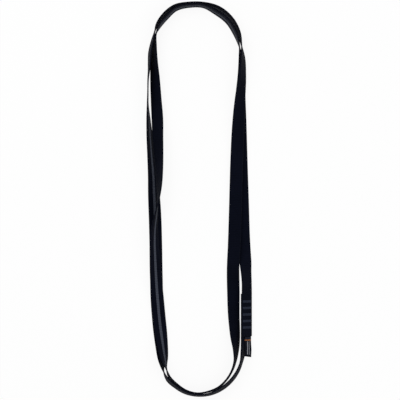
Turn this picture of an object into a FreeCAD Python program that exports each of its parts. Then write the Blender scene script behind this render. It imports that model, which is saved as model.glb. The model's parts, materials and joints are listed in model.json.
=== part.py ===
import FreeCAD, Part
import math
import os

# Sewn webbing sling lying in a doubled loop, in millimetres.
# +X runs to the right of the loop, +Y along its length and +Z up from the surface it lies on.

loop_length = 560.0          # over the two bights
loop_width = 150.0           # over the outer strands
webbing_width = 18.0
webbing_thickness = 1.9
layer_gap = 0.1              # thread-filled gap between the two joined layers
overlap_length = 60.3
overlap_middle_y = -163.65   # in the loop as it was laid out
overlap_middle_x = 65.6
overlap_roll = -145.0
bar_tack_count = 5
bar_tack_pitch = 9.2
first_bar_tack = 11.0        # from the overlap's upper end to the first bar's centre
bar_tack_length = 15.0       # across the webbing
bar_tack_width = 3.4
bar_tack_height = 0.7        # thread standing on the webbing
thread_legs = 3              # bundles of stitches through both layers, in each bar
thread_leg_width = 1.2
label_width = 11.0
label_offset = 2.0           # from the webbing's middle towards its outer edge
label_root_length = 5.0      # part of the label held by its own stitches
label_flap_length = 23.0     # free part of the folded label
label_leaf = 0.35            # one woven leaf
label_leaf_gap = 0.4
label_clearance = 0.2
label_lie = 0.7              # free flap above the webbing
label_stitch_length = 8.6
label_stitch_width = 1.4
label_stitch_height = 0.4
fold_line = -65.0            # where the loop folds across
fold_axis_height = 19.0      # above the tallest strand there
fold_gap = 0.4
section_step = 14.0          # along the webbing

# The loop was laid out at these sizes; a changed size moves its strands, or lifts and spreads them.
laid_length = 560.0
laid_width = 150.0
laid_webbing_width = 18.0
laid_thickness = 1.9
side_start = 38.0            # strands further out than this move with the loop's sides
end_start = 110.0            # and further along than this with its ends

overlap_upper_end = overlap_middle_y + overlap_length / 2 - (loop_length - laid_length) / 2
overlap_lower_end = overlap_upper_end - overlap_length
overlap_x = overlap_middle_x + (loop_width - laid_width) / 2

# One station of the webbing's centre line: x, y, roll in degrees about the line, and the
# clearance under its lower edge. At roll 0 the striped face is up, at -90 it faces the
# middle of the loop, at -180 it is down.
inner_turn = [
    (66.7, -119.3, -143, 0.8), (65.6, -99.4, -152, 0.4),
    (65.0, -90.0, -163, 0.0),
    (64.0, -79.5, -174, 0.0), (62.6, -54.0, -172, 0.0), (61.1, -7.1, -174, 0.0),
    (59.1, 56.8, -172, 0.0), (58.0, 106.5, -163, 0.0), (57.8, 142.0, -146, 0.0),
    (59.0, 176.1, -124, 0.0), (58.3, 201.6, -108, 0.0), (55.9, 218.0, -89, 0.0),
    (51.1, 232.9, -76, 0.0), (39.9, 251.5, -73, 0.0), (21.4, 265.4, -76, 0.0),
    (6.1, 273.3, -80, 0.0), (-13.8, 274.1, -80, 0.0), (-33.3, 269.5, -78, 0.0),
    (-47.8, 256.0, -79, 0.0), (-56.8, 244.9, -82, 0.0), (-62.6, 231.5, -98, 0.0),
    (-64.1, 217.3, -111, 0.0), (-64.4, 196.0, -124, 0.0), (-63.2, 170.4, -140, 0.0),
    (-61.6, 142.0, -150, 1.4), (-59.8, 113.6, -158, 4.4), (-59.0, 88.0, -150, 8.6),
    (-57.9, 65.3, -139, 8.6), (-57.0, 42.6, -127, 7.9), (-57.1, 19.9, -115, 6.2),
    (-58.3, 2.8, -102, 5.3), (-59.9, -9.9, -90, 4.2), (-61.7, -24.1, -76, 3.4),
    (-63.6, -41.2, -61, 3.0), (-64.2, -59.6, -47, 2.6), (-63.4, -82.4, -36, 2.5),
    (-61.8, -113.6, -22, 2.5), (-59.3, -144.8, -8, 2.5), (-56.1, -177.5, -8, 2.5),
    (-53.0, -201.6, -30, 2.3), (-50.0, -222.9, -55, 1.6), (-46.9, -240.0, -90, 0.3),
    (-42.4, -251.9, -102, 0.0), (-32.5, -261.9, -103, 0.0), (-20.3, -270.1, -101, 0.0),
    (-3.6, -274.4, -99, 0.0), (12.8, -272.0, -100, 0.0), (27.4, -265.5, -100, 0.0),
    (38.6, -254.5, -99, 0.0), (46.3, -241.4, -99, 0.0), (50.4, -227.9, -103, 0.0),
    (51.5, -213.0, -118, 0.0), (50.3, -193.1, -142, 0.0), (48.5, -164.7, -158, 0.0),
    (47.9, -130.6, -174, 0.6), (47.4, -98.0, -190, 3.6), (48.9, -63.9, -188, 5.0),
    (50.5, -14.2, -186, 5.0), (52.3, 49.7, -184, 5.0), (54.8, 106.5, -167, 5.2),
    (57.2, 142.0, -147, 4.5), (60.5, 176.1, -125, 3.4), (61.2, 201.6, -108, 1.8),
]
outer_turn = [
    (59.2, 218.7, -90, 0.3), (55.5, 235.0, -77, 0.0), (43.8, 255.8, -72, 0.0),
    (26.0, 269.8, -70, 0.0), (6.4, 276.0, -77, 0.0), (-14.7, 276.8, -80, 0.0),
    (-35.2, 272.7, -78, 0.0), (-51.4, 260.2, -80, 0.0), (-60.2, 247.4, -84, 0.0),
    (-64.7, 232.9, -97, 0.0), (-68.2, 218.7, -103, 0.0), (-70.4, 207.3, -104, 0.0),
    (-71.1, 196.0, -102, 0.0), (-71.7, 183.2, -98, 0.0), (-72.8, 171.8, -94, 0.0),
    (-73.2, 151.9, -91, 0.0), (-73.4, 134.9, -88, 0.0), (-72.4, 113.6, -76, 0.0),
    (-70.7, 88.0, -64, 0.0), (-68.5, 59.6, -55, 0.0), (-66.2, 34.1, -40, 0.0),
    (-64.8, 7.1, -24, 0.0), (-63.4, -21.3, -10, 0.0), (-62.2, -63.9, -4, 0.0),
    (-61.5, -106.5, -3, 0.0), (-60.4, -144.8, -3, 0.0), (-57.8, -177.5, -6, 0.0),
    (-54.7, -207.3, -28, 0.0), (-53.2, -227.2, -55, 0.0), (-51.0, -243.0, -90, 0.0),
    (-45.0, -255.4, -107, 0.0), (-33.9, -265.3, -108, 0.0), (-20.4, -273.5, -106, 0.0),
    (-3.4, -277.4, -104, 0.0), (14.6, -275.6, -106, 0.0), (31.8, -267.5, -110, 0.0),
    (45.3, -255.8, -109, 0.0), (54.7, -241.7, -106, 0.0), (59.2, -229.6, -104, 0.0),
    (61.9, -216.0, -116, 0.0), (64.7, -205.0, -137, 0.0),
]


def overlap_frame():
    """Unit vectors across the sewn overlap and out of its outer face."""
    roll = math.radians(overlap_roll)
    across = FreeCAD.Vector(-math.cos(roll), 0, math.sin(roll))
    outward = FreeCAD.Vector(-math.sin(roll), 0, -math.cos(roll))
    return across, outward


def station_height(roll, clearance):
    """Height of the webbing's middle when its lower edge has this clearance."""
    tilt = math.radians(roll)
    half = (webbing_width * abs(math.sin(tilt)) + webbing_thickness * abs(math.cos(tilt))) / 2
    return clearance + half


def overlap_middle(y, layer):
    """Middle of the overlap's lower layer, 0, or upper layer, 1."""
    across, outward = overlap_frame()
    low = FreeCAD.Vector(overlap_x, y, station_height(overlap_roll, 0.0))
    return low + outward * (layer * (webbing_thickness + layer_gap))


def moved_side(x):
    """A wider or narrower loop moves its two sides apart; its ends stretch between them."""
    share = max(-1.0, min(1.0, x / side_start))
    return x + share * (loop_width - laid_width) / 2


def moved_end(y):
    """A longer or shorter loop moves its two ends apart."""
    share = max(-1.0, min(1.0, y / end_start))
    return y + share * (loop_length - laid_length) / 2


def pushed_out(x, y, distance):
    """A point of the outer turn, further from the loop's middle by a distance."""
    across, along = x / laid_width, y / laid_length
    away = math.hypot(across, along)
    return x + distance * across / away, y + distance * along / away


def route():
    """Both turns from the overlap's upper layer round to its lower layer."""
    across, outward = overlap_frame()
    step = outward * (webbing_thickness + layer_gap)
    lift = max(webbing_thickness / laid_thickness, webbing_width / laid_webbing_width)
    stations = []
    for y in (overlap_lower_end, overlap_upper_end - 8, overlap_upper_end - 4, overlap_upper_end):
        stations.append((overlap_x + step.x, y, overlap_roll, step.z))
    for x, y, roll, clearance in inner_turn:
        stations.append((moved_side(x), moved_end(y), roll, clearance * lift))
    thicker = webbing_thickness - laid_thickness
    for x, y, roll, clearance in outer_turn:
        x, y = pushed_out(x, y, thicker)
        stations.append((moved_side(x), moved_end(y), roll, clearance * lift))
    root_end = overlap_lower_end - label_root_length
    for y in (root_end, root_end + 4, root_end + 8, overlap_upper_end):
        stations.append((overlap_x, y, overlap_roll, 0.0))
    return stations


class Place:
    """A point of the centre line in plan, with its roll and clearance."""

    def __init__(self, values, heading):
        self.x, self.y, self.roll, self.clearance = values
        self.heading = heading

    def corners(self):
        """The section's four corners, in order round the webbing."""
        roll = math.radians(self.roll)
        inward = FreeCAD.Vector(-self.heading.y, self.heading.x, 0)
        up = FreeCAD.Vector(0, 0, 1)
        side = inward * math.cos(roll) + up * math.sin(roll)
        face = inward * -math.sin(roll) + up * math.cos(roll)
        middle = FreeCAD.Vector(self.x, self.y, station_height(self.roll, self.clearance))
        half_side = side * (webbing_width / 2)
        half_face = face * (webbing_thickness / 2)
        return [middle + half_side + half_face, middle - half_side + half_face,
                middle - half_side - half_face, middle + half_side - half_face]


def smooth_line(stations):
    """Places on a smooth line through the stations, about section_step apart."""
    last = len(stations) - 1
    gaps = []
    for a, b in zip(stations, stations[1:]):
        gaps.append(math.hypot(b[0] - a[0], b[1] - a[1]))

    def slopes(k):
        rates = [(b[k] - a[k]) / gap for a, b, gap in zip(stations, stations[1:], gaps)]
        inner = []
        for i in range(1, last):
            total = gaps[i - 1] + gaps[i]
            inner.append((rates[i - 1] * gaps[i] + rates[i] * gaps[i - 1]) / total)
        return [rates[0]] + inner + [rates[-1]]

    rates = [slopes(k) for k in range(4)]
    places = []
    for i in range(last):
        h = gaps[i]
        count = max(1, round(h / section_step))
        for j in range(count + (i == last - 1)):
            u = j / count
            values = []
            speeds = []
            for k in range(4):
                a, b = stations[i][k], stations[i + 1][k]
                p, q = rates[k][i], rates[k][i + 1]
                values.append(a * (2 * u**3 - 3 * u**2 + 1) + b * (3 * u**2 - 2 * u**3)
                              + h * p * (u**3 - 2 * u**2 + u) + h * q * (u**3 - u**2))
                speeds.append((b - a) * (6 * u - 6 * u**2) / h + p * (3 * u**2 - 4 * u + 1)
                              + q * (3 * u**2 - 2 * u))
            heading = FreeCAD.Vector(speeds[0], speeds[1], 0)
            heading.normalize()
            places.append(Place(values, heading))
    return places


def split_at_fold(places):
    """The line cut into stretches where it crosses the fold, a gap apart."""
    stretches = [[]]
    for a, b in zip(places, places[1:]):
        stretches[-1].append(a)
        if (a.y - fold_line) * (b.y - fold_line) < 0:
            direction = 1 if b.y > a.y else -1
            for side in (-1, 1):
                y = fold_line + side * direction * fold_gap / 2
                share = (y - a.y) / (b.y - a.y)
                values = [a.x + share * (b.x - a.x), y, a.roll + share * (b.roll - a.roll),
                          a.clearance + share * (b.clearance - a.clearance)]
                cut = Place(values, FreeCAD.Vector(0, direction, 0))
                if side == -1:
                    if abs(a.y - y) < section_step / 3 and len(stretches[-1]) > 1:
                        stretches[-1].pop()
                    stretches[-1].append(cut)
                    stretches.append([])
                else:
                    stretches[-1].append(cut)
    stretches[-1].append(places[-1])
    tidy = []
    for stretch in stretches:
        kept = [stretch[0]]
        for place in stretch[1:-1]:
            if math.hypot(place.x - kept[0].x, place.y - kept[0].y) > section_step / 3:
                kept.append(place)
        tidy.append(kept + [stretch[-1]])
    return tidy


def ribbon(places):
    """A solid of webbing: ruled faces between neighbouring sections, and two flat ends."""
    sections = [place.corners() for place in places]
    faces = []
    for near, far in zip(sections, sections[1:]):
        for k in range(4):
            first = Part.makeLine(near[k], near[(k + 1) % 4])
            second = Part.makeLine(far[k], far[(k + 1) % 4])
            faces.append(Part.makeRuledSurface(first, second))
    for section in (sections[0], sections[-1]):
        faces.append(Part.Face(Part.makePolygon(section + [section[0]])))
    shell = Part.makeShell(faces)
    shell.sewShape()
    solid = Part.makeSolid(shell)
    if solid.Volume < 0:
        solid.reverse()
    return solid


def overlap_block(y, layer, offset, across_size, along_size, low, high):
    """A block on the overlap: offset across it, and from low to high out of a layer's middle."""
    across, outward = overlap_frame()
    along = FreeCAD.Vector(0, 1, 0)
    middle = overlap_middle(y, layer) + across * offset
    corner = middle - across * (across_size / 2) - along * (along_size / 2) + outward * low
    base = Part.makePolygon([corner, corner + across * across_size,
                             corner + across * across_size + along * along_size,
                             corner + along * along_size, corner])
    return Part.Face(base).extrude(outward * (high - low))


def bar_tack(number):
    """A bar of stitches on both outer faces, and the thread bundles that join them."""
    y = overlap_upper_end - first_bar_tack - number * bar_tack_pitch
    half = webbing_thickness / 2
    top = overlap_block(y, 1, 0, bar_tack_length, bar_tack_width, half, half + bar_tack_height)
    under = overlap_block(y, 0, 0, bar_tack_length, bar_tack_width, -half - bar_tack_height, -half)
    through = webbing_thickness + layer_gap + half
    legs = []
    spacing = (bar_tack_length - 2 * thread_leg_width) / (thread_legs - 1)
    for k in range(thread_legs):
        offset = (k - (thread_legs - 1) / 2) * spacing
        length = bar_tack_width - thread_leg_width
        legs.append(overlap_block(y, 0, offset, thread_leg_width, length, -half, through))
    return top.fuse([under] + legs).removeSplitter(), legs


def label_height():
    return 2 * label_leaf + label_leaf_gap


def label_leaves(y, length):
    """The free leaves of the folded label, joined at the fold at their far end."""
    base = webbing_thickness / 2 + label_lie
    top = base + label_height()
    block = overlap_block(y, 0, label_offset, label_width, length, base, top)
    room = length - label_leaf
    inside = overlap_block(y + (length - room) / 2, 0, label_offset, label_width, room,
                           base + label_leaf, top - label_leaf)
    return block.cut(inside)


def label_pieces():
    """The label's sewn root, its stitches with their legs, and the free flap."""
    base = webbing_thickness / 2
    root_end = overlap_lower_end - label_root_length
    root_length = label_root_length - label_clearance
    root_y = root_end + root_length / 2
    top = base + label_height()
    root = overlap_block(root_y, 0, label_offset, label_width, root_length, base, top)
    stitch_top = overlap_block(root_y, 0, label_offset, label_stitch_length, label_stitch_width,
                               top, top + label_stitch_height)
    stitch_under = overlap_block(root_y, 0, label_offset, label_stitch_length, label_stitch_width,
                                 -base - label_stitch_height, -base)
    legs = []
    for side in (-1, 1):
        offset = label_offset + side * (label_stitch_length / 2 - label_stitch_width)
        legs.append(overlap_block(root_y, 0, offset, label_stitch_width / 2,
                                  label_stitch_width / 2, -base, top))
    stitches = stitch_top.fuse([stitch_under] + legs).removeSplitter()
    flap_y = root_end - label_clearance - label_flap_length / 2
    flap = label_leaves(flap_y, label_flap_length)
    return root.cut(Part.makeCompound(legs)), stitches, flap, legs


def build():
    """Every node's shape, in the frame of the route."""
    stretches = split_at_fold(smooth_line(route()))
    names = ["webbing_overlap_upper_layer", "webbing_far_inner_turn", "webbing_near_inner_turn",
             "webbing_far_outer_turn", "webbing_near_outer_turn"]
    nodes = {name: ribbon(stretch) for name, stretch in zip(names, stretches)}
    thread = []
    for number in range(bar_tack_count):
        tack, legs = bar_tack(number)
        nodes["bar_tack_%d" % (number + 1)] = tack
        thread += legs
    root, stitches, flap, legs = label_pieces()
    nodes["label_root"] = root
    nodes["label_stitches"] = stitches
    nodes["label_flap"] = flap
    for name in ("webbing_overlap_upper_layer", "webbing_near_outer_turn"):
        nodes[name] = nodes[name].cut(Part.makeCompound(thread + legs))
    return nodes


def hinge_points():
    """The fold's and the label's hinge points, on the frame of the route."""
    across, outward = overlap_frame()
    root_end = overlap_lower_end - label_root_length
    top = webbing_thickness / 2 + label_lie + label_height()
    label = overlap_middle(root_end - label_clearance / 2, 0) + across * label_offset + outward * top
    return {"fold": FreeCAD.Vector(0, fold_line, fold_axis_height), "label": label}


def main():
    os.makedirs("parts", exist_ok=True)
    nodes = build()
    box = FreeCAD.BoundBox()
    for shape in nodes.values():
        box.add(shape.BoundBox)
    shift = FreeCAD.Vector(-box.Center.x, -box.Center.y, -box.ZMin)
    for name, shape in nodes.items():
        shape = shape.translated(shift)
        print(name, len(shape.Solids), shape.isValid(), round(shape.Volume, 2))
        shape.exportStep("parts/%s.step" % name)
    print("size", round(box.XLength, 2), round(box.YLength, 2), round(box.ZLength, 2))
    print("shift", shift)
    for name, point in hinge_points().items():
        print(name, point + shift)


main()
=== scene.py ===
import math
import json

import bmesh
import bpy
from bpy.props import FloatProperty, IntProperty, PointerProperty, StringProperty
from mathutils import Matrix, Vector


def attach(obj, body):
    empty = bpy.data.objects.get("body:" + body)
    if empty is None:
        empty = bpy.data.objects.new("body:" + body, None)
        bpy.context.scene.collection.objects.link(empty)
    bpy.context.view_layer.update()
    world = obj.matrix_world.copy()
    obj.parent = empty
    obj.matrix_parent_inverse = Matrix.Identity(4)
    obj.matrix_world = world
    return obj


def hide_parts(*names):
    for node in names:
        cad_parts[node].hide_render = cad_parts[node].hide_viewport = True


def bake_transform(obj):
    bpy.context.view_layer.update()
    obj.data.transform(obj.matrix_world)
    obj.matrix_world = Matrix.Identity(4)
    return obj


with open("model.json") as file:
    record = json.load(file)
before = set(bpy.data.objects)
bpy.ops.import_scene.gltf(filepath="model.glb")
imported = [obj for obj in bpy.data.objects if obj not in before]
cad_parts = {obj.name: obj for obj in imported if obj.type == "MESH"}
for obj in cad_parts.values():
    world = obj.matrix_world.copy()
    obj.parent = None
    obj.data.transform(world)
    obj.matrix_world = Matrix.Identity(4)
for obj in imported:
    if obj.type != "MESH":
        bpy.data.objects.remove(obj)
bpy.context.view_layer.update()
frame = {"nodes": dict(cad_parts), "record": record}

bl_info = {
    "name": "Sewn Webbing Sling",
    "version": (1, 0, 0),
    "blender": (4, 5, 0),
    "location": "View3D > Sidebar > Sling",
    "description": "Builds a sewn webbing sling around its construction frame",
    "category": "Object",
}

MM = 0.001

# Loose fibres shade each other, so woven polyamide shines far less than a solid block of it.
FIBRE_GLOSS = 0.03
FIBRE_IOR = 1.53
SHEEN_ROUGHNESS = 0.4
WARP_PITCH = 0.75            # bundles of warp yarn, drawn coarser than real so that they show
LABEL_YARN_PITCH = 0.5

# Stations of the webbing's middle line in millimetres: x, y, roll in degrees, and the
# clearance under its lower edge. At roll 0 the striped face is up, at -90 it faces the
# middle of the loop and at -180 it is down.
INNER_TURN = [
    (66.7, -119.3, -143, 0.8), (65.6, -99.4, -152, 0.4),
    (65.0, -90.0, -163, 0.0),
    (64.0, -79.5, -174, 0.0), (62.6, -54.0, -172, 0.0), (61.1, -7.1, -174, 0.0),
    (59.1, 56.8, -172, 0.0), (58.0, 106.5, -163, 0.0), (57.8, 142.0, -146, 0.0),
    (59.0, 176.1, -124, 0.0), (58.3, 201.6, -108, 0.0), (55.9, 218.0, -89, 0.0),
    (51.1, 232.9, -76, 0.0), (39.9, 251.5, -73, 0.0), (21.4, 265.4, -76, 0.0),
    (6.1, 273.3, -80, 0.0), (-13.8, 274.1, -80, 0.0), (-33.3, 269.5, -78, 0.0),
    (-47.8, 256.0, -79, 0.0), (-56.8, 244.9, -82, 0.0), (-62.6, 231.5, -98, 0.0),
    (-64.1, 217.3, -111, 0.0), (-64.4, 196.0, -124, 0.0), (-63.2, 170.4, -140, 0.0),
    (-61.6, 142.0, -150, 1.4), (-59.8, 113.6, -158, 4.4), (-59.0, 88.0, -150, 8.6),
    (-57.9, 65.3, -139, 8.6), (-57.0, 42.6, -127, 7.9), (-57.1, 19.9, -115, 6.2),
    (-58.3, 2.8, -102, 5.3), (-59.9, -9.9, -90, 4.2), (-61.7, -24.1, -76, 3.4),
    (-63.6, -41.2, -61, 3.0), (-64.2, -59.6, -47, 2.6), (-63.4, -82.4, -36, 2.5),
    (-61.8, -113.6, -22, 2.5), (-59.3, -144.8, -8, 2.5), (-56.1, -177.5, -8, 2.5),
    (-53.0, -201.6, -30, 2.3), (-50.0, -222.9, -55, 1.6), (-46.9, -240.0, -90, 0.3),
    (-42.4, -251.9, -102, 0.0), (-32.5, -261.9, -103, 0.0), (-20.3, -270.1, -101, 0.0),
    (-3.6, -274.4, -99, 0.0), (12.8, -272.0, -100, 0.0), (27.4, -265.5, -100, 0.0),
    (38.6, -254.5, -99, 0.0), (46.3, -241.4, -99, 0.0), (50.4, -227.9, -103, 0.0),
    (51.5, -213.0, -118, 0.0), (50.3, -193.1, -142, 0.0), (48.5, -164.7, -158, 0.0),
    (47.9, -130.6, -174, 0.6), (47.4, -98.0, -190, 3.6), (48.9, -63.9, -188, 5.0),
    (50.5, -14.2, -186, 5.0), (52.3, 49.7, -184, 5.0), (54.8, 106.5, -167, 5.2),
    (57.2, 142.0, -147, 4.5), (60.5, 176.1, -125, 3.4), (61.2, 201.6, -108, 1.8),
]
OUTER_TURN = [
    (59.2, 218.7, -90, 0.3), (55.5, 235.0, -77, 0.0), (43.8, 255.8, -72, 0.0),
    (26.0, 269.8, -70, 0.0), (6.4, 276.0, -77, 0.0), (-14.7, 276.8, -80, 0.0),
    (-35.2, 272.7, -78, 0.0), (-51.4, 260.2, -80, 0.0), (-60.2, 247.4, -84, 0.0),
    (-64.7, 232.9, -97, 0.0), (-68.2, 218.7, -103, 0.0), (-70.4, 207.3, -104, 0.0),
    (-71.1, 196.0, -102, 0.0), (-71.7, 183.2, -98, 0.0), (-72.8, 171.8, -94, 0.0),
    (-73.2, 151.9, -91, 0.0), (-73.4, 134.9, -88, 0.0), (-72.4, 113.6, -76, 0.0),
    (-70.7, 88.0, -64, 0.0), (-68.5, 59.6, -55, 0.0), (-66.2, 34.1, -40, 0.0),
    (-64.8, 7.1, -24, 0.0), (-63.4, -21.3, -10, 0.0), (-62.2, -63.9, -4, 0.0),
    (-61.5, -106.5, -3, 0.0), (-60.4, -144.8, -3, 0.0), (-57.8, -177.5, -6, 0.0),
    (-54.7, -207.3, -28, 0.0), (-53.2, -227.2, -55, 0.0), (-51.0, -243.0, -90, 0.0),
    (-45.0, -255.4, -107, 0.0), (-33.9, -265.3, -108, 0.0), (-20.4, -273.5, -106, 0.0),
    (-3.4, -277.4, -104, 0.0), (14.6, -275.6, -106, 0.0), (31.8, -267.5, -110, 0.0),
    (45.3, -255.8, -109, 0.0), (54.7, -241.7, -106, 0.0), (59.2, -229.6, -104, 0.0),
    (61.9, -216.0, -116, 0.0), (64.7, -205.0, -137, 0.0),
]
OVERLAP_X = 65.6
OVERLAP_ROLL = -145.0
OVERLAP_UPPER_END = -133.5
OVERLAP_LOWER_END = -193.8
LABEL_ROOT_LENGTH = 5.0      # held down by the label's stitches
LABEL_ROOT_END = OVERLAP_LOWER_END - LABEL_ROOT_LENGTH
LAYER_GAP = 0.1
FIRST_BAR_TACK = 11.0
FOLD_LINE = -65.0
FOLD_HEIGHT = 19.0


class SlingSizes(bpy.types.PropertyGroup):
    """Sizes of the webbing, its stitches and its label."""

    webbing_width: FloatProperty(name="Webbing width", description="Across the webbing, mm", default=18.0)
    webbing_thickness: FloatProperty(name="Webbing thickness", description="Of one layer, mm", default=1.9)
    rib_pitch: FloatProperty(name="Rib pitch", description="Between two weft ribs, mm", default=2.4)
    rib_height: FloatProperty(name="Rib height", description="Of a weft rib, mm", default=0.11)
    stripe_width: FloatProperty(name="Stripe width", description="Of the grey warp stripe, mm", default=4.0)
    tack_count: IntProperty(name="Bar tacks", description="Bars of stitches in the overlap", default=5)
    tack_pitch: FloatProperty(name="Bar tack pitch", description="Between two bars, mm", default=9.2)
    tack_length: FloatProperty(name="Bar tack length", description="Across the webbing, mm", default=15.0)
    tack_width: FloatProperty(name="Bar tack width", description="Along the webbing, mm", default=3.4)
    tack_height: FloatProperty(name="Bar tack height", description="Thread on the webbing, mm", default=0.7)
    label_width: FloatProperty(name="Label width", description="Across the label, mm", default=11.0)
    label_offset: FloatProperty(name="Label offset", description="From the webbing's middle, mm", default=2.0)
    label_length: FloatProperty(name="Label length", description="Free part of the label, mm", default=23.0)


class SlingColours(bpy.types.PropertyGroup):
    """Colours as sRGB hex values."""

    webbing: StringProperty(name="Webbing", description="Dyed polyamide warp", default="#03050E")
    # Painted highlight of the webbing's weft ribs and of the label's weave, and also the pale tone of worn
    # webbing fibres.
    weave_highlight_and_wear: StringProperty(name="Rib", description="Where the weft catches light", default="#0B0E1C")
    stripe: StringProperty(name="Stripe", description="Grey warp stripe", default="#474B56")
    thread: StringProperty(name="Thread", description="Bar tack thread", default="#2C3140")
    thread_shade: StringProperty(name="Thread shade", description="Between two stitches", default="#1B1F2A")
    label: StringProperty(name="Label", description="Woven label ground", default="#0B0D15")
    label_mark: StringProperty(name="Label marks", description="Woven pale bars", default="#85878E")
    accent: StringProperty(name="Label accent", description="Woven orange bar", default="#8A5A3C")


def sizes():
    return bpy.context.scene.sling_sizes


def colours():
    return bpy.context.scene.sling_colours


def linear(code):
    """A linear colour from an sRGB hex value."""
    values = [int(code[i:i + 2], 16) / 255 for i in (1, 3, 5)]
    straight = [v / 12.92 if v <= 0.04045 else ((v + 0.055) / 1.055) ** 2.4 for v in values]
    return tuple(straight) + (1.0,)


def add_node(tree, kind, settings=None, links=None, values=None):
    """Add a node with its settings, input values and incoming links."""
    node = tree.nodes.new(kind)
    for key, value in (settings or {}).items():
        setattr(node, key, value)
    for key, value in (values or {}).items():
        node.inputs[key].default_value = value
    for key, socket in (links or {}).items():
        tree.links.new(socket, node.inputs[key])
    return node


def new_material(name, roughness, sheen):
    """A synthetic fibre's material, with its tree and its shader still to be coloured."""
    material = bpy.data.materials.new(name)
    material.use_nodes = True
    tree = material.node_tree
    shader = tree.nodes["Principled BSDF"]
    shader.inputs["Roughness"].default_value = roughness
    shader.inputs["IOR"].default_value = FIBRE_IOR
    shader.inputs["Specular IOR Level"].default_value = FIBRE_GLOSS
    shader.inputs["Sheen Weight"].default_value = sheen
    shader.inputs["Sheen Roughness"].default_value = SHEEN_ROUGHNESS
    return material, tree, shader


def sine_of(tree, socket, period):
    """A wave from 0 to 1 along a coordinate in metres."""
    turned = add_node(tree, "ShaderNodeMath", {"operation": "MULTIPLY"}, {0: socket},
                      {1: 2 * math.pi / period}).outputs[0]
    wave = add_node(tree, "ShaderNodeMath", {"operation": "SINE"}, {0: turned}).outputs[0]
    return add_node(tree, "ShaderNodeMath", {"operation": "MULTIPLY_ADD"}, {0: wave},
                    {1: 0.5, 2: 0.5}).outputs[0]


def band(tree, socket, middle, half):
    """1 within half of the middle, 0 outside."""
    away = add_node(tree, "ShaderNodeMath", {"operation": "SUBTRACT"}, {0: socket}, {1: middle}).outputs[0]
    size = add_node(tree, "ShaderNodeMath", {"operation": "ABSOLUTE"}, {0: away}).outputs[0]
    return add_node(tree, "ShaderNodeMath", {"operation": "LESS_THAN"}, {0: size}, {1: half}).outputs[0]


def mix_colour(tree, factor, first, second):
    """A colour mixed by a factor socket; each colour is a socket or a value."""
    node = add_node(tree, "ShaderNodeMix", {"data_type": "RGBA"}, {"Factor": factor})
    for socket, value in ((node.inputs[6], first), (node.inputs[7], second)):
        if isinstance(value, tuple):
            socket.default_value = value
        else:
            tree.links.new(value, socket)
    return node.outputs[2]


def webbing_material():
    """Tubular polyamide webbing, woven: dull near-black ribs with a painted highlight on each weft rib, one
    grey warp stripe, worn pale fibres.
    """
    material, tree, shader = new_material("woven_polyamide_webbing", 0.78, 0.04)
    uv = add_node(tree, "ShaderNodeUVMap", {"uv_map": "weave"})
    split = add_node(tree, "ShaderNodeSeparateXYZ", None, {0: uv.outputs[0]})
    across, along = split.outputs[0], split.outputs[1]
    ribs = sine_of(tree, along, sizes().rib_pitch * MM)
    warp = sine_of(tree, across, WARP_PITCH * MM)
    noise = add_node(tree, "ShaderNodeTexNoise", None, {"Vector": uv.outputs[0]},
                     {"Scale": 900.0, "Detail": 4.0})
    wear = add_node(tree, "ShaderNodeTexNoise", None, {"Vector": uv.outputs[0]},
                    {"Scale": 28.0, "Detail": 3.0})
    # Painted highlight: the weft ribs, broken up by noise, are coloured lighter where they catch light.
    weave = add_node(tree, "ShaderNodeMath", {"operation": "MULTIPLY"},
                     {0: ribs, 1: noise.outputs[0]}).outputs[0]
    ground = mix_colour(tree, weave, linear(colours().webbing), linear(colours().weave_highlight_and_wear))
    worn = add_node(tree, "ShaderNodeMapRange", None, {"Value": wear.outputs[0]},
                    {"From Min": 0.35, "From Max": 0.75, "To Min": 0.0, "To Max": 0.5}).outputs[0]
    ground = mix_colour(tree, worn, ground, linear(colours().weave_highlight_and_wear))
    stripe = band(tree, across, sizes().webbing_width / 2 * MM, sizes().stripe_width / 2 * MM)
    flecked = add_node(tree, "ShaderNodeMath", {"operation": "MULTIPLY_ADD"}, {0: ribs},
                       {1: 0.35, 2: 0.65}).outputs[0]
    stripe = add_node(tree, "ShaderNodeMath", {"operation": "MULTIPLY"}, {0: stripe, 1: flecked}).outputs[0]
    colour = mix_colour(tree, stripe, ground, linear(colours().stripe))
    tree.links.new(colour, shader.inputs["Base Color"])
    height = add_node(tree, "ShaderNodeMath", {"operation": "MULTIPLY_ADD"}, {0: warp, 2: weave},
                      {1: 0.6}).outputs[0]
    bump = add_node(tree, "ShaderNodeBump", None, {"Height": height}, {"Strength": 0.5, "Distance": 0.0003})
    tree.links.new(bump.outputs[0], shader.inputs["Normal"])
    return material


def thread_material():
    """Bonded polyamide thread, wound: a soft satin shine along each stitch."""
    material, tree, shader = new_material("bonded_polyamide_thread", 0.6, 0.05)
    place = add_node(tree, "ShaderNodeTexCoord")
    noise = add_node(tree, "ShaderNodeTexNoise", None, {"Vector": place.outputs["Object"]},
                     {"Scale": 2600.0, "Detail": 3.0})
    colour = mix_colour(tree, noise.outputs[0], linear(colours().thread_shade), linear(colours().thread))
    tree.links.new(colour, shader.inputs["Base Color"])
    bump = add_node(tree, "ShaderNodeBump", None, {"Height": noise.outputs[0]},
                    {"Strength": 0.4, "Distance": 0.0002})
    tree.links.new(bump.outputs[0], shader.inputs["Normal"])
    return material


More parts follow.
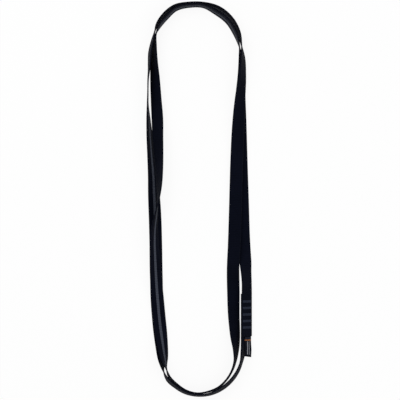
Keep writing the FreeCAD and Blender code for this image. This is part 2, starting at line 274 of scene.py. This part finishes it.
def label_material():
    """Woven polyester label: fine ribs with a painted highlight where the yarns cross, an orange bar at its
    root and pale bars along it.
    """
    material, tree, shader = new_material("woven_polyester_label", 0.75, 0.05)
    uv = add_node(tree, "ShaderNodeUVMap", {"uv_map": "weave"})
    split = add_node(tree, "ShaderNodeSeparateXYZ", None, {0: uv.outputs[0]})
    across, along = split.outputs[0], split.outputs[1]
    weft = sine_of(tree, along, LABEL_YARN_PITCH * MM)
    warp = sine_of(tree, across, LABEL_YARN_PITCH * MM)
    weave = add_node(tree, "ShaderNodeMath", {"operation": "MULTIPLY"}, {0: weft, 1: warp}).outputs[0]
    # Painted highlight: the label's yarn crossings are coloured lighter, as if they catch light.
    ground = mix_colour(tree, weave, linear(colours().label), linear(colours().weave_highlight_and_wear))
    block = band(tree, along, 16.0 * MM, 9.0 * MM)
    for middle, half in ((4.6, 0.8), (7.6, 0.35)):
        mark = band(tree, across, middle * MM, half * MM)
        mark = add_node(tree, "ShaderNodeMath", {"operation": "MULTIPLY"}, {0: mark, 1: block}).outputs[0]
        ground = mix_colour(tree, mark, ground, linear(colours().label_mark))
    accent = band(tree, along, 5.2 * MM, 0.8 * MM)
    ground = mix_colour(tree, accent, ground, linear(colours().accent))
    tree.links.new(ground, shader.inputs["Base Color"])
    bump = add_node(tree, "ShaderNodeBump", None, {"Height": weave}, {"Strength": 0.4, "Distance": 0.0002})
    tree.links.new(bump.outputs[0], shader.inputs["Normal"])
    return material


def station_height(roll, clearance):
    """Height of the webbing's middle when its lower edge has this clearance."""
    tilt = math.radians(roll)
    width, thickness = sizes().webbing_width, sizes().webbing_thickness
    return clearance + (width * abs(math.sin(tilt)) + thickness * abs(math.cos(tilt))) / 2


def overlap_axes():
    """Unit vectors across the sewn overlap and out of its outer face."""
    roll = math.radians(OVERLAP_ROLL)
    across = Vector((-math.cos(roll), 0, math.sin(roll)))
    outward = Vector((-math.sin(roll), 0, -math.cos(roll)))
    return across, outward


def overlap_middle(y, layer):
    """Middle of the overlap's lower layer, 0, or upper layer, 1, in the route's frame."""
    across, outward = overlap_axes()
    step = sizes().webbing_thickness + LAYER_GAP
    return Vector((OVERLAP_X, y, station_height(OVERLAP_ROLL, 0.0))) + outward * (layer * step)


def webbing_route():
    """All stations, from the overlap's upper layer round both turns to its lower layer."""
    outward = overlap_axes()[1]
    step = outward * (sizes().webbing_thickness + LAYER_GAP)
    stations = []
    for y in (OVERLAP_LOWER_END, OVERLAP_UPPER_END - 8, OVERLAP_UPPER_END - 4, OVERLAP_UPPER_END):
        stations.append((OVERLAP_X + step.x, y, OVERLAP_ROLL, step.z))
    stations += INNER_TURN + OUTER_TURN
    for y in (LABEL_ROOT_END, LABEL_ROOT_END + 4, LABEL_ROOT_END + 8, OVERLAP_UPPER_END):
        stations.append((OVERLAP_X, y, OVERLAP_ROLL, 0.0))
    return stations


def smooth_line(stations, step):
    """Points, headings and rolls on a smooth line through the stations."""
    gaps = [math.hypot(b[0] - a[0], b[1] - a[1]) for a, b in zip(stations, stations[1:])]
    last = len(stations) - 1
    slopes = []
    for k in range(4):
        rates = [(b[k] - a[k]) / gap for a, b, gap in zip(stations, stations[1:], gaps)]
        inner = [(rates[i - 1] * gaps[i] + rates[i] * gaps[i - 1]) / (gaps[i - 1] + gaps[i])
                 for i in range(1, last)]
        slopes.append([rates[0]] + inner + [rates[-1]])
    line = []
    for i in range(last):
        h = gaps[i]
        count = max(1, round(h / step))
        for j in range(count + (i == last - 1)):
            u = j / count
            values = []
            for k in range(4):
                a, b = stations[i][k], stations[i + 1][k]
                p, q = slopes[k][i], slopes[k][i + 1]
                values.append(a * (2 * u**3 - 3 * u**2 + 1) + b * (3 * u**2 - 2 * u**3)
                              + h * p * (u**3 - 2 * u**2 + u) + h * q * (u**3 - u**2))
            line.append(values)
    return line


FACE_COLUMNS = 9             # points across each face of the webbing
EDGE_SHARE = 0.45            # how far its rounded edge reaches in, as a share of its thickness
EDGE_DEPTH = 0.42
FACE_SWELL = 0.05


def section(width, thickness):
    """The webbing's rounded section, as points across and out, with the weave's coordinate."""
    points = []
    edge = thickness * EDGE_SHARE
    for side in (1, -1):
        for k in range(FACE_COLUMNS):
            share = k / (FACE_COLUMNS - 1)
            x = (0.5 - share) * (width - 2 * edge) * side
            swell = thickness / 2 * (1 - FACE_SWELL * math.cos(2 * math.pi * share * 3))
            weave = share * width if side == 1 else 2 * width + share * width
            points.append((x, swell * side, weave))
        for turn in (30, 90, 150):
            angle = math.radians(turn)
            x = -side * ((width - 2 * edge) / 2 + edge * math.sin(angle))
            out = side * thickness * EDGE_DEPTH * math.cos(angle)
            points.append((x, out, width + 1 if side == 1 else 3 * width + 1))
    return points


def build_webbing():
    """The webbing's mesh: weft ribs, rounded selvedges and the weave's coordinates."""
    width, thickness = sizes().webbing_width, sizes().webbing_thickness
    line = smooth_line(webbing_route(), sizes().rib_pitch / 2)
    profile = section(width, thickness)
    mesh = bmesh.new()
    weave = mesh.loops.layers.uv.new("weave")
    rings = []
    lengths = [0.0]
    for a, b in zip(line, line[1:]):
        lengths.append(lengths[-1] + math.hypot(b[0] - a[0], b[1] - a[1]))
    for i, (x, y, roll, clearance) in enumerate(line):
        a, b = line[max(0, i - 1)], line[min(len(line) - 1, i + 1)]
        heading = Vector((b[0] - a[0], b[1] - a[1], 0)).normalized()
        inward = Vector((-heading.y, heading.x, 0))
        tilt = math.radians(roll)
        side = inward * math.cos(tilt) + Vector((0, 0, math.sin(tilt)))
        face = inward * -math.sin(tilt) + Vector((0, 0, math.cos(tilt)))
        middle = Vector((x, y, station_height(roll, clearance)))
        rib = sizes().rib_height * (-1 if i % 2 else 0)
        ring = []
        for across, out, coordinate in profile:
            out += rib * (1 if out > 0 else -1)
            ring.append(mesh.verts.new((middle + side * across + face * out) * MM))
        rings.append(ring)
    count = len(profile)
    for i, (near, far) in enumerate(zip(rings, rings[1:])):
        for k in range(count):
            n = (k + 1) % count
            face = mesh.faces.new((near[k], near[n], far[n], far[k]))
            face.smooth = True
            u0 = profile[k][2]
            u1 = profile[n][2] if profile[n][2] >= u0 else u0 + 0.5
            ends = ((u0, lengths[i]), (u1, lengths[i]), (u1, lengths[i + 1]), (u0, lengths[i + 1]))
            for loop, (u, v) in zip(face.loops, ends):
                loop[weave].uv = (u * MM, v * MM)
    mesh.faces.new(rings[0])
    mesh.faces.new(list(reversed(rings[-1])))
    bmesh.ops.recalc_face_normals(mesh, faces=mesh.faces)
    return mesh, lengths[-1]


def finish_mesh(mesh, name, material, move=None):
    """Turn a bmesh into an object with a material."""
    if move is not None:
        bmesh.ops.translate(mesh, verts=mesh.verts, vec=move)
    data = bpy.data.meshes.new(name)
    mesh.to_mesh(data)
    mesh.free()
    data.materials.append(material)
    piece = bpy.data.objects.new(name, data)
    bpy.context.scene.collection.objects.link(piece)
    return piece


def route_shift():
    """From the route's frame to the frame of the construction, in metres."""
    point = frame_joint("fold_across")
    return Vector(point) - Vector((0.0, FOLD_LINE * MM, FOLD_HEIGHT * MM))


def frame_joint(name):
    """A joint's point, from the record."""
    for joint in frame["record"]["behaviour"]["joints"]:
        if joint["name"] == name:
            return joint["pos_m"]
    raise RuntimeError("the frame has no joint named " + name)


def webbing_nodes():
    """The construction's webbing solids."""
    return [n for n in frame["nodes"] if n.startswith("webbing_")]


class SLING_OT_webbing(bpy.types.Operator):
    """Build the woven webbing in its two turns"""

    bl_idname = "sling.webbing"
    bl_label = "Webbing"

    def execute(self, context):
        mesh, length = build_webbing()
        piece = finish_mesh(mesh, "webbing", webbing_material(), route_shift())
        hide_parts(*webbing_nodes())
        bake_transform(piece)
        return {"FINISHED"}


TACK_THREADS = 26            # side by side in one bar


def stitch_bar(mesh, base, across, outward, length, width, height, threads):
    """A closed pad of side-by-side stitches standing on base."""
    columns = threads * 4
    rows = 8
    along = Vector((0, 1, 0))
    top = []
    bottom = []
    for i in range(columns + 1):
        u = i / columns
        jitter = 0.12 * math.sin(i * 1.7)
        row = []
        low = []
        for j in range(rows + 1):
            v = j / rows
            dome = math.sin(math.pi * min(max(v, 0.04), 0.96)) ** 0.45
            ridge = 0.72 + 0.28 * abs(math.sin(math.pi * u * threads))
            end = min(1.0, 6 * min(u, 1 - u) + 0.35)
            spot = base + across * ((u - 0.5) * length) + along * ((v - 0.5) * (width + jitter))
            row.append(mesh.verts.new((spot + outward * (height * dome * ridge * end)) * MM))
            low.append(mesh.verts.new((spot - outward * 0.02) * MM))
        top.append(row)
        bottom.append(low)
    for grid, flip in ((top, False), (bottom, True)):
        for i in range(columns):
            for j in range(rows):
                quad = [grid[i][j], grid[i + 1][j], grid[i + 1][j + 1], grid[i][j + 1]]
                face = mesh.faces.new(reversed(quad) if flip else quad)
                face.smooth = True
    for i in range(columns):
        mesh.faces.new((top[i][0], bottom[i][0], bottom[i + 1][0], top[i + 1][0]))
        mesh.faces.new((top[i + 1][rows], bottom[i + 1][rows], bottom[i][rows], top[i][rows]))
    for j in range(rows):
        mesh.faces.new((top[0][j + 1], bottom[0][j + 1], bottom[0][j], top[0][j]))
        mesh.faces.new((top[columns][j], bottom[columns][j], bottom[columns][j + 1], top[columns][j + 1]))


class SLING_OT_bar_tacks(bpy.types.Operator):
    """Build the bars of stitches that close the overlap"""

    bl_idname = "sling.bar_tacks"
    bl_label = "Bar tacks"

    def execute(self, context):
        material = thread_material()
        across, outward = overlap_axes()
        half = sizes().webbing_thickness / 2
        for number in range(sizes().tack_count):
            y = OVERLAP_UPPER_END - FIRST_BAR_TACK - number * sizes().tack_pitch
            mesh = bmesh.new()
            for layer, direction in ((1, outward), (0, -outward)):
                base = overlap_middle(y, layer) + direction * (half - 0.05)
                stitch_bar(mesh, base, across, direction, sizes().tack_length, sizes().tack_width,
                           sizes().tack_height, TACK_THREADS)
            bmesh.ops.recalc_face_normals(mesh, faces=mesh.faces)
            piece = finish_mesh(mesh, "bar_tack_thread_%d" % (number + 1), material, route_shift())
            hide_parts("bar_tack_%d" % (number + 1))
            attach(piece, "near_half")
        return {"FINISHED"}


LEAF_THICKNESS = 0.32        # one woven leaf of the label
LEAF_GAP = 0.75              # between the middles of its two leaves
LABEL_SEAT = 0.22            # the lower leaf's middle above the webbing
LABEL_COLUMNS = 14
LABEL_TUCK = 0.2             # its root starts this far inside the overlap's lower end
LABEL_EASE = 12.0            # its free part reaches its full lift over this length
LABEL_LIFT = 0.7
LABEL_WAVE = 0.35
LABEL_SLANT = 1.6
STITCH_ROW_PLACE = 2.6       # from the overlap's lower end
STITCH_ROW_RISE = 1.05       # over both leaves of the label
STITCH_ROW_SINK = 0.05       # into the webbing's underside
STITCH_ROW_LENGTH = 8.6
STITCH_ROW_WIDTH = 1.4
STITCH_ROW_HEIGHT = 0.4
STITCH_ROW_THREADS = 12


def label_line():
    """The folded label's middle line: along its lower leaf, round the fold and back."""
    length = sizes().label_length + LABEL_ROOT_LENGTH - LEAF_GAP / 2
    steps = 34
    points = []
    for k in range(steps + 1):
        points.append((length * k / steps, 0.0))
    for turn in range(20, 180, 20):
        angle = math.radians(turn)
        points.append((length + LEAF_GAP / 2 * math.sin(angle), LEAF_GAP / 2 * (1 - math.cos(angle))))
    for k in range(steps + 1):
        points.append((length * (1 - k / steps), LEAF_GAP))
    return points, length


def label_grid(mesh, points, length, away):
    """One face of the label's cloth, at a distance from its middle line, lifting and slanting to its end."""
    across, outward = overlap_axes()
    base = overlap_middle(OVERLAP_LOWER_END - LABEL_TUCK, 0) + across * sizes().label_offset
    base = base + outward * (sizes().webbing_thickness / 2 + LABEL_SEAT)
    grid = []
    for i, (s, out) in enumerate(points):
        a, b = points[max(0, i - 1)], points[min(len(points) - 1, i + 1)]
        slope = Vector((b[0] - a[0], b[1] - a[1])).normalized()
        normal = Vector((slope.y, -slope.x))
        row = []
        for k in range(LABEL_COLUMNS + 1):
            u = k / LABEL_COLUMNS - 0.5
            free = max(0.0, min(1.0, (s - LABEL_ROOT_LENGTH) / LABEL_EASE))
            lift = LABEL_LIFT * free + LABEL_WAVE * free * math.sin(2.2 * math.pi * u + s * 0.25)
            slant = LABEL_SLANT * (u + 0.5) * (s / length)
            spot = base + across * (u * sizes().label_width)
            spot = spot - Vector((0, 1, 0)) * (s + away * normal.x + slant)
            row.append(mesh.verts.new((spot + outward * (out + lift + away * normal.y)) * MM))
        grid.append(row)
    return grid


def build_label():
    """The folded label's mesh with the weave's coordinates, and the cloth's length at each point."""
    points, length = label_line()
    mesh = bmesh.new()
    weave = mesh.loops.layers.uv.new("weave")
    run = [0.0]
    for a, b in zip(points, points[1:]):
        run.append(run[-1] + math.hypot(b[0] - a[0], b[1] - a[1]))
    grids = [label_grid(mesh, points, length, away) for away in (-LEAF_THICKNESS / 2, LEAF_THICKNESS / 2)]
    last = len(points) - 1
    for grid in grids:
        for i in range(last):
            for k in range(LABEL_COLUMNS):
                face = mesh.faces.new((grid[i][k], grid[i + 1][k], grid[i + 1][k + 1], grid[i][k + 1]))
                face.smooth = True
                rows = (i, i + 1, i + 1, i)
                columns = (k, k, k + 1, k + 1)
                for loop, row, column in zip(face.loops, rows, columns):
                    along = min(run[row], run[-1] - run[row])
                    loop[weave].uv = (column / LABEL_COLUMNS * sizes().label_width * MM, along * MM)
    under, over = grids
    for i in range(last):
        for k in (0, LABEL_COLUMNS):
            mesh.faces.new((under[i][k], over[i][k], over[i + 1][k], under[i + 1][k]))
    for i in (0, last):
        for k in range(LABEL_COLUMNS):
            mesh.faces.new((under[i][k], under[i][k + 1], over[i][k + 1], over[i][k]))
    bmesh.ops.recalc_face_normals(mesh, faces=mesh.faces)
    return mesh, run


def build_label_stitches():
    """The row of stitches over the label's root, and its underside below the webbing."""
    across, outward = overlap_axes()
    half = sizes().webbing_thickness / 2
    mesh = bmesh.new()
    spot = overlap_middle(OVERLAP_LOWER_END - STITCH_ROW_PLACE, 0) + across * sizes().label_offset
    for direction, rise in ((outward, half + STITCH_ROW_RISE), (-outward, half - STITCH_ROW_SINK)):
        stitch_bar(mesh, spot + direction * rise, across, direction, STITCH_ROW_LENGTH,
                   STITCH_ROW_WIDTH, STITCH_ROW_HEIGHT, STITCH_ROW_THREADS)
    bmesh.ops.recalc_face_normals(mesh, faces=mesh.faces)
    return mesh


class SLING_OT_label(bpy.types.Operator):
    """Build the folded label and its stitches"""

    bl_idname = "sling.label"
    bl_label = "Label"

    def execute(self, context):
        mesh, run = build_label()
        piece = finish_mesh(mesh, "label", label_material(), route_shift())
        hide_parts("label_root", "label_flap")
        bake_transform(piece)
        thread = bpy.data.materials["bonded_polyamide_thread"]
        row = finish_mesh(build_label_stitches(), "label_stitch_row", thread, route_shift())
        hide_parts("label_stitches")
        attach(row, "near_half")
        return {"FINISHED"}


CAMERA_HEIGHT = 2.6
VIEW_WIDTH = 0.568
WORLD_LIGHT = 0.55
FLOOR_HALF_SIDE = 3.0
FLOOR_DROP = 0.0005
FLOOR_GLOW = 0.9             # share of plain white in what the camera sees of the floor
KEY_POWER = 16
FILL_POWER = 9
SENSOR_WIDTH = 36.0


def add_area(name, place, target, size, power):
    """A soft square lamp that looks at a point."""
    data = bpy.data.lights.new(name, "AREA")
    data.size = size
    data.energy = power
    lamp = bpy.data.objects.new(name, data)
    lamp.location = place
    lamp.rotation_euler = (Vector(target) - Vector(place)).to_track_quat("-Z", "Y").to_euler()
    bpy.context.scene.collection.objects.link(lamp)


def seen_directly(tree):
    """1 for what the camera sees, straight or through gloss and glass, and 0 for what only gives light."""
    path = add_node(tree, "ShaderNodeLightPath")
    seen = path.outputs["Is Camera Ray"]
    for other in ("Is Glossy Ray", "Is Transmission Ray"):
        seen = add_node(tree, "ShaderNodeMath", {"operation": "MAXIMUM"},
                        {0: seen, 1: path.outputs[other]}).outputs[0]
    return seen


def soft_white_world():
    """An even pale light all round, which shows as plain white beyond the floor."""
    world = bpy.data.worlds.new("soft_white")
    world.use_nodes = True
    tree = world.node_tree
    background = tree.nodes["Background"]
    background.inputs["Color"].default_value = (1, 1, 1, 1)
    strength = add_node(tree, "ShaderNodeMath", {"operation": "MULTIPLY_ADD"}, {0: seen_directly(tree)},
                        {1: 1.0 - WORLD_LIGHT, 2: WORLD_LIGHT}).outputs[0]
    tree.links.new(strength, background.inputs["Strength"])
    return world


def floor_material():
    """Matt white paper, seen as plain white and keeping a faint shadow."""
    material = bpy.data.materials.new("white_paper_floor")
    material.use_nodes = True
    tree = material.node_tree
    tree.nodes.clear()
    paper = add_node(tree, "ShaderNodeBsdfDiffuse", None, None, {"Color": (0.97, 0.97, 0.97, 1.0)})
    glow = add_node(tree, "ShaderNodeEmission", None, None, {"Color": (1, 1, 1, 1), "Strength": 1.0})
    share = add_node(tree, "ShaderNodeMath", {"operation": "MULTIPLY"}, {0: seen_directly(tree)},
                     {1: FLOOR_GLOW}).outputs[0]
    mixed = add_node(tree, "ShaderNodeMixShader", None, {0: share, 1: paper.outputs[0], 2: glow.outputs[0]})
    add_node(tree, "ShaderNodeOutputMaterial", None, {"Surface": mixed.outputs[0]})
    return material


class SLING_OT_stage(bpy.types.Operator):
    """Build the floor, lamps and camera"""

    bl_idname = "sling.stage"
    bl_label = "Stage"

    def execute(self, context):
        scene = bpy.context.scene
        floor = bmesh.new()
        bmesh.ops.create_grid(floor, x_segments=1, y_segments=1, size=FLOOR_HALF_SIDE)
        piece = finish_mesh(floor, "floor", floor_material(), Vector((0, 0, -FLOOR_DROP)))
        scene.world = soft_white_world()
        add_area("key_lamp", (-0.9, 1.1, 1.6), (0, 0, 0), 1.2, KEY_POWER)
        add_area("fill_lamp", (1.2, -0.6, 1.5), (0, 0, 0), 1.4, FILL_POWER)
        data = bpy.data.cameras.new("camera")
        data.sensor_width = SENSOR_WIDTH
        data.lens = SENSOR_WIDTH * CAMERA_HEIGHT / VIEW_WIDTH
        camera = bpy.data.objects.new("camera", data)
        camera.location = (0.001, -0.0005, CAMERA_HEIGHT)
        scene.collection.objects.link(camera)
        scene.camera = camera
        scene.view_settings.view_transform = "Standard"
        return {"FINISHED"}


class SLING_PT_panel(bpy.types.Panel):
    """Lists the sling's pieces"""

    bl_idname = "SLING_PT_panel"
    bl_label = "Sewn webbing sling"
    bl_space_type = "VIEW_3D"
    bl_region_type = "UI"
    bl_category = "Sling"

    def draw(self, context):
        for operator in OPERATORS:
            self.layout.operator(operator.bl_idname)
        for group in (context.scene.sling_sizes, context.scene.sling_colours):
            for name in group.__annotations__:
                self.layout.prop(group, name)


OPERATORS = (SLING_OT_webbing, SLING_OT_bar_tacks, SLING_OT_label, SLING_OT_stage)
CLASSES = (SlingSizes, SlingColours) + OPERATORS + (SLING_PT_panel,)


def register():
    for item in CLASSES:
        bpy.utils.register_class(item)
    bpy.types.Scene.sling_sizes = PointerProperty(type=SlingSizes)
    bpy.types.Scene.sling_colours = PointerProperty(type=SlingColours)


def unregister():
    del bpy.types.Scene.sling_colours
    del bpy.types.Scene.sling_sizes
    for item in reversed(CLASSES):
        bpy.utils.unregister_class(item)


def main():
    """Build every piece and the stage."""
    register()
    bpy.ops.sling.webbing()
    bpy.ops.sling.bar_tacks()
    bpy.ops.sling.label()
    bpy.ops.sling.stage()


if __name__ == "__main__":
    main()
